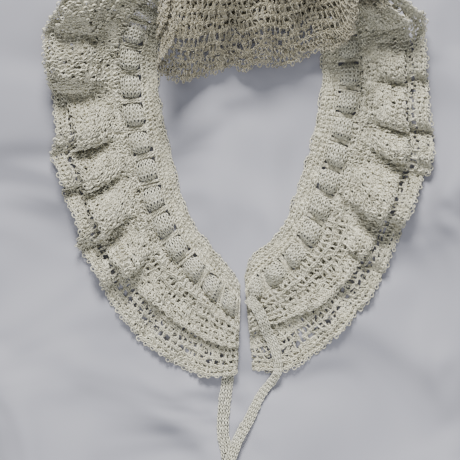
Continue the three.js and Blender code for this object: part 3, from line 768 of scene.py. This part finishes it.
def yarn_material(name, light, shade, knobs=False):
    """Yarn between two tones, with painted shade over the turned part of the back, plies and maybe
    knobs.
    """
    made = bpy.data.materials.new(name)
    made.use_nodes = True
    nodes, link = made.node_tree.nodes, made.node_tree.links.new
    shader = nodes["Principled BSDF"]
    shader.inputs["Roughness"].default_value = 0.72
    shader.inputs["Sheen Weight"].default_value = 0.35
    shader.inputs["Sheen Roughness"].default_value = 0.45
    shader.inputs["Specular IOR Level"].default_value = 0.35

    places = nodes.new("ShaderNodeTexCoord")
    drift = nodes.new("ShaderNodeTexNoise")
    drift.inputs["Scale"].default_value = 160
    drift.inputs["Detail"].default_value = 3
    link(places.outputs["Object"], drift.inputs["Vector"])
    tint = nodes.new("ShaderNodeMix")
    tint.data_type = "RGBA"
    tint.inputs["A"].default_value = (*shade, 1)
    tint.inputs["B"].default_value = (*light, 1)
    spread = nodes.new("ShaderNodeMapRange")
    spread.inputs["From Min"].default_value = 0.35
    spread.inputs["From Max"].default_value = 0.65
    link(drift.outputs["Fac"], spread.inputs["Value"])
    link(spread.outputs["Result"], tint.inputs["Factor"])
    # Painted shade: over the turned part of the back the yarn's colour is multiplied darker, standing
    # in for the shade that falls there; the real yarn is the same cream.
    side = nodes.new("ShaderNodeAttribute")
    side.attribute_name = "painted_turned_shade"
    painted_shade_mix = nodes.new("ShaderNodeMix")
    painted_shade_mix.data_type = "RGBA"
    painted_shade_mix.blend_type = "MULTIPLY"
    painted_shade_mix.inputs["B"].default_value = (0.55, 0.518, 0.46, 1)
    link(side.outputs["Fac"], painted_shade_mix.inputs["Factor"])
    link(tint.outputs["Result"], painted_shade_mix.inputs["A"])
    link(painted_shade_mix.outputs["Result"], shader.inputs["Base Color"])

    # Two plies wind round the yarn: a sine that runs along it and twice around.
    along = nodes.new("ShaderNodeUVMap")
    along.uv_map = "yarn"
    split = nodes.new("ShaderNodeSeparateXYZ")
    link(along.outputs["UV"], split.inputs["Vector"])
    turns = nodes.new("ShaderNodeMath")
    turns.operation = "MULTIPLY"
    turns.inputs[1].default_value = 2 * math.pi / PLY_PITCH
    link(split.outputs["X"], turns.inputs[0])
    around = nodes.new("ShaderNodeMath")
    around.operation = "MULTIPLY_ADD"
    around.inputs[1].default_value = 4 * math.pi
    link(split.outputs["Y"], around.inputs[0])
    link(turns.outputs["Value"], around.inputs[2])
    ply = nodes.new("ShaderNodeMath")
    ply.operation = "SINE"
    link(around.outputs["Value"], ply.inputs[0])
    relief = nodes.new("ShaderNodeBump")
    relief.inputs["Strength"].default_value = 0.9
    relief.inputs["Distance"].default_value = 0.00025
    link(ply.outputs["Value"], relief.inputs["Height"])
    link(relief.outputs["Normal"], shader.inputs["Normal"])
    if knobs:
        cells = nodes.new("ShaderNodeTexVoronoi")
        cells.inputs["Scale"].default_value = 520
        link(places.outputs["Object"], cells.inputs["Vector"])
        lumps = nodes.new("ShaderNodeBump")
        lumps.invert = True
        lumps.inputs["Strength"].default_value = 1.0
        lumps.inputs["Distance"].default_value = 0.0012
        link(cells.outputs["Distance"], lumps.inputs["Height"])
        link(lumps.outputs["Normal"], relief.inputs["Normal"])
    return made


cream = yarn_material("cream_yarn", (0.84, 0.81, 0.64), (0.68, 0.65, 0.49))
brighter = yarn_material("bright_yarn", (0.84, 0.82, 0.67), (0.71, 0.69, 0.54))
# Painted shade: the sheet behind the loops gets darker yarn than the loops, standing in for the shade
# that falls between them.
shaded_sheet = yarn_material("shaded_sheet_yarn", (0.68, 0.65, 0.50), (0.54, 0.51, 0.38), knobs=True)


# ---- Tie ----

def tie_course(wales, width):
    """One course of a tie: a chain loop in each of its wales, which run along it."""
    def draw(bm):
        for k in range(wales):
            y = (k + 0.5) / wales * width
            points = loop_points(TIE_STEP / 2, y, 2.7, width / wales * 0.72, 0.32, points=8)
            strand(bm, points, closed=True)
    return stitch(draw)


def flat_tie(name, line, shape_at, wales, nominal, first=0.0):
    """A tie along a line of frames. shape_at gives its width and its crown at a distance."""
    length = line["length"]
    count = int((length - first) / TIE_STEP)
    step = (length - first) / count
    row, points, core, copy = repeated(tie_course(wales, nominal), count, TIE_STEP)
    off = points - core
    wale = np.clip((core[:, 1] / nominal * wales).astype(int), 0, wales - 1)
    slips = chance.normal(0, SPREAD, (count, wales, 3))[copy, wale] * TIE_SLIPS
    s = first + core[:, 0] / TIE_STEP * step + slips[:, 0]
    width, crown = shape_at(s)
    middle, along, across, out = line["at"](s)
    part = 2 * core[:, 1] / nominal - 1
    wide = part * width / 2 + slips[:, 1]
    lifted = core[:, 2] + slips[:, 2] + crown * (1 - part ** 2)
    placed = middle + across * (wide[:, None] + off[:, 1:2]) + along * off[:, :1]
    placed = placed + out * (lifted[:, None] + off[:, 2:])
    return joined(name, [laid(row, placed)])


def route_line(points):
    """Frames along a free end's route, which lies flat on what is under it."""
    found = through(points + TO_FRAME, np.linspace(0, len(points) - 1, 600))
    lengths = lengths_along(found)
    ways = unit(np.gradient(found, axis=0))
    sides = unit(np.cross((0, 0, 1), ways))

    def read(s):
        def value(table):
            return np.column_stack([np.interp(s, lengths, table[:, k]) for k in range(3)])
        way, side = unit(value(ways)), unit(value(sides))
        return value(found), way, side, unit(np.cross(way, side))
    return {"length": lengths[-1], "at": read}, found[::6] * MM


left_line, left_path = route_line(LEFT_END)
right_line, right_path = route_line(RIGHT_END)


def left_shape(s):
    """The left end's width and crown."""
    return np.full(len(s), END_WORKED), FLAT_CROWN


def right_shape(s):
    """The right end's width and crown."""
    return np.interp(s, RIGHT_WIDTHS[:, 0], RIGHT_WIDTHS[:, 1]), RIGHT_CROWN


left_end = flat_tie("left_tie_end", left_line, left_shape, END_WALES, END_WORKED)
right_end = flat_tie("right_tie_end", right_line, right_shape, END_WALES, END_WORKED)

eyelet_row = lengths_along(flat_band.at(u, np.full(len(u), EYELET_MIDDLE / BAND_WIDTH))[0])
numbers = np.arange(int(PUFFS[-1, 0]) + 1)
middles = np.interp(numbers, PUFFS[:, 0], PUFFS[:, 1])
pitches = np.diff(middles, prepend=middles[0] - (middles[1] - middles[0]))
risen, falls = middles - BAR_SHARE * pitches / 2, middles + BAR_SHARE * pitches / 2
rises, fallen = risen - EYELET_SHARE * pitches, falls + EYELET_SHARE * pitches


def tie_heights():
    """Places along the eyelet row, and the height of the tie's edges at each."""
    places = [(0.0, TIE_UNDER)]
    for k in numbers:
        places += [(rises[k] + TIE_EASE, TIE_UNDER), (risen[k] - TIE_EASE, TIE_OVER - TIE_DIP)]
        if k == numbers[-1]:
            break
        places += [(falls[k] + TIE_EASE, TIE_OVER - TIE_DIP), (fallen[k] - TIE_EASE, TIE_UNDER)]
    places.append((eyelet_row[-1], TIE_OVER))
    return np.array(places)


heights = tie_heights()


def puffed(s):
    """The tie's width and crown: full in the puffs, narrow where the bars hold it down."""
    near = np.abs(s[:, None] - middles).min(axis=1)
    full = np.sqrt(np.clip(1 - (near / PUFF_REACH) ** 2, 0, 1))
    return PUFF_NARROW + PUFF_GAIN * full, FLAT_CROWN + PUFF_CROWN * full


def threaded_line():
    """Frames along the eyelet row, over and under its bars."""
    def read(s):
        place = np.interp(s, eyelet_row, u)
        middle, along, across, out = flat_band.at(place, np.full(len(s), EYELET_MIDDLE / BAND_WIDTH))
        high = np.interp(s, heights[:, 0], heights[:, 1]) + TIE_THICKNESS / 2 - TIE_SINK
        return middle + out * high[:, None], along, across, out
    return {"length": eyelet_row[-1], "at": read}


tie = flat_tie("threaded_tie", threaded_line(), puffed, PUFF_WALES, PUFF_WORKED, TIE_START)

for piece, node in ((left_end, "tie_end_left"), (right_end, "tie_end_right"), (tie, "tie_threaded")):
    piece.data.materials.append(brighter)
    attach(piece, "root")
    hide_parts(node)


# ---- Neckband ----

def share_of_band(*across):
    """Distances across the band as shares of its width."""
    return tuple(a / BAND_WIDTH for a in across)


bars = np.concatenate(((rises[0] / 2,), (fallen[:-1] + rises[1:]) / 2))
over_bars = np.concatenate((bars - OVER_BAR, bars + OVER_BAR))
under_bars = np.concatenate((middles - UNDER_BAR, middles + UNDER_BAR))


def bar_stitch(bm):
    """The bar between two eyelets: short twisted loops, each over the end of the last."""
    for k in range(BAR_LOOPS):
        low = BAR_TALL * k / BAR_LOOPS - 0.5
        high = low + BAR_TALL / BAR_LOOPS + 0.8
        twisted_loop(bm, PITCH / 2, low, high, width=0.6, points=7)


STITCHES["bar"] = (stitch(bar_stitch), PITCH, BAR_TALL)
band_rows = [
    work_row(band, "chain", *share_of_band(-0.2, 1.6)),
    work_row(band, "short", *share_of_band(1.5, 4.2)),
    work_row(band, "short", *share_of_band(4.2, 6.9)),
    work_row(band, "short", *share_of_band(6.9, 9.7)),
    work_row(band, "bar", *share_of_band(9.4, 22.0), where=over_bars, height=0.2),
    work_row(band, "bar", *share_of_band(9.4, 22.0), where=under_bars),
    work_row(band, "chain", *share_of_band(20.6, 22.4), height=0.2),
]


def in_eyelet(place, share, depth):
    """Whether places along and across the band lie in one of its eyelets."""
    starts = np.interp(np.concatenate((rises, falls[:-1])), eyelet_row, u)
    ends = np.interp(np.concatenate((risen, fallen[:-1])), eyelet_row, u)
    beside = ((place[:, None] > starts) & (place[:, None] < ends)).any(axis=1)
    across = share * BAND_WIDTH
    return beside & (across > EYELET_INNER) & (across < EYELET_OUTER)


neckband = ground("neckband_cloth", band, BAND_STRIPS, in_eyelet, step=BAND_SHEET_STEP)
band_loops = joined("neckband_loops", band_rows)
for piece, finish in ((neckband, shaded_sheet), (band_loops, cream)):
    piece.data.materials.append(finish)
    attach(piece, "root")
    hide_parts("neckband")


# ---- Frills ----

def frill(surface, plan):
    """The rows of a plan worked on a frill, as one list of objects."""
    return [
        work_row(surface, kind, low, high, swing, part)
        for kind, low, high, swing, part in plan
    ]


def rows_of(kind, count, low, high, swing, part=ALL_ROUND):
    """A plan of like rows between two shares of the depth."""
    step = (high - low) / count
    return [(kind, low + step * k, low + step * (k + 1), swing, part) for k in range(count)]


LONG_BODY = (
    rows_of("tall", 5, 0, 0.6, 0.3, LEFT_SIDE) + rows_of("tall", 5, 0, 0.6, 0.3, RIGHT_SIDE)
    + rows_of("open", 6, 0, 0.6, 0.3, TURNED)
)
LONG_EDGE = (
    rows_of("open", 1, 0.6, 0.715, 0.3) + rows_of("mesh", 1, 0.715, 0.825, 0.3)
    + rows_of("short", 2, 0.825, 0.97, 0.5) + rows_of("picot", 1, 0.965, 1.01, 0.3)
)
SHORT_BODY = (
    rows_of("short", 6, 0, 0.68, 1.0, GATHERED)
    + rows_of("open", 3, 0, 0.68, 0.5, LEFT_FRONT) + rows_of("open", 3, 0, 0.68, 0.5, RIGHT_FRONT)
)
SHORT_EDGE = rows_of("short", 2, 0.68, 0.97, 0.6) + rows_of("picot", 1, 0.965, 1.03, 0.3)


def pitted(place, share, depth):
    """Whether places on a frill are small gaps between its stitches."""
    is_turned = (place > GAPS_TURNED[0]) & (place < GAPS_TURNED[1])
    is_mesh = (share > GAPS_MESH[0]) & (share < GAPS_MESH[1]) & (depth > SHALLOW)
    is_front = ((place < GAPS_FRONT[0]) | (place > GAPS_FRONT[1])) & (depth < SHALLOW)
    likely = np.where(is_turned, TURNED_GAPS, BODY_GAPS)
    likely = np.where(is_mesh, MESH_GAPS, likely)
    likely = np.where(is_front, FRONT_GAPS, likely)
    return chance.random(len(place)) < likely


def make_frill(name, node, surface, strips, plans):
    """A frill: its cloth, the loops over it and its edge, each given its finish and attached to the
    root body, with its CAD part hidden.
    """
    cloth = ground(name + "_cloth", surface, strips, pitted)
    loops = joined(name + "_loops", frill(surface, plans[0]))
    trim = joined(name + "_edge", frill(surface, plans[1]))
    for piece, finish in ((cloth, shaded_sheet), (loops, cream), (trim, cream)):
        piece.data.materials.append(finish)
        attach(piece, "root")
        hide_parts(node)
    return cloth


long_cloth = make_frill(
    "long_frill", "lower_frill", long_frill, LONG_STRIPS, (LONG_BODY, LONG_EDGE),
)
make_frill(
    "short_frill", "upper_frill", short_frill, SHORT_STRIPS, (SHORT_BODY, SHORT_EDGE),
)
